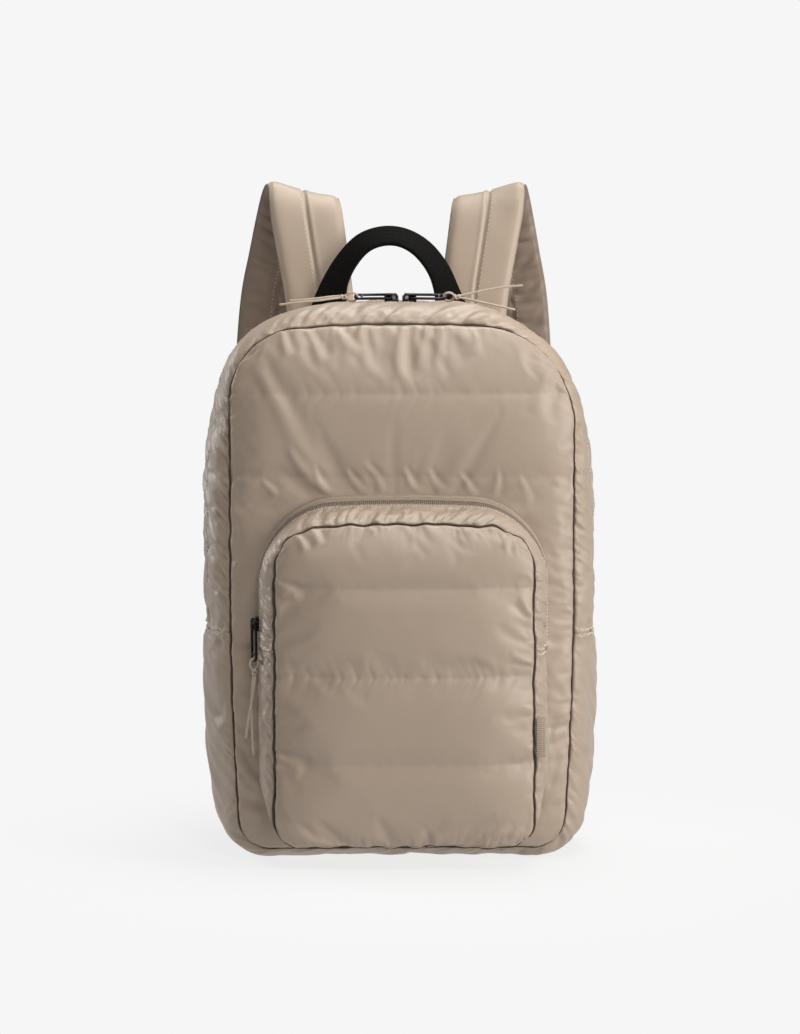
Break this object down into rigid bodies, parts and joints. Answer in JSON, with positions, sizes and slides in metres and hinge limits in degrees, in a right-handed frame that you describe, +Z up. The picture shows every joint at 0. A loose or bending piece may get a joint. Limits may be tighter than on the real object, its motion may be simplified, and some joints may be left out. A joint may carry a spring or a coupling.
{
  "type": "quilted puffer backpack",
  "caption": "Upright padded daypack with a zip over the top, a puffed quilted front pocket, a folded webbing handle and arched shoulder straps.",
  "frame": {"origin": "middle of the flat base that the bag stands on, midway between the front and back seams of the main compartment", "axes": "+Z up, -Y towards the front pocket, +X to the right as the front is seen; the straps are on the +Y side"},
  "size_m": [0.307, 0.2718, 0.5295],
  "materials": {
    "shell_fabric": "satin coated nylon, quilted over padding",
    "strap_fabric": "satin coated nylon over foam, stitched along the middle",
    "zip_tape": "woven tape with a nylon coil",
    "label_fabric": "folded woven tape, bare",
    "black_webbing": "black polypropylene webbing",
    "black_plastic": "moulded black plastic",
    "black_metal": "black enamelled zinc",
    "pull_cord": "braided cord"
  },
  "bodies": {
    "root": {"front_panel": "shell_fabric", "back_panel": "shell_fabric", "gusset_front_strip": "shell_fabric", "gusset_back_strip": "shell_fabric", "lower_gusset": "shell_fabric", "main_zip": "zip_tape", "pocket_panel": "shell_fabric", "pocket_inner_strip": "shell_fabric", "pocket_zip": "zip_tape", "pocket_outer_strip": "shell_fabric", "pocket_lower_gusset": "shell_fabric", "side_label": "label_fabric", "carry_handle": "black_webbing", "left_strap": "strap_fabric", "right_strap": "strap_fabric", "left_adjuster": "black_plastic", "right_adjuster": "black_plastic", "left_webbing": "black_webbing", "right_webbing": "black_webbing", "left_slider": "black_metal", "left_puller": "black_metal", "left_cord_knot": "pull_cord", "left_cord_tail_1": "pull_cord", "left_cord_tail_2": "pull_cord", "right_slider": "black_metal", "right_puller": "black_metal", "right_cord_knot": "pull_cord", "right_cord_tail_1": "pull_cord", "right_cord_tail_2": "pull_cord", "pocket_slider": "black_metal", "pocket_puller": "black_metal", "pocket_cord_knot": "pull_cord", "pocket_cord_tail_1": "pull_cord", "pocket_cord_tail_2": "pull_cord"}
  },
  "joints": []
}
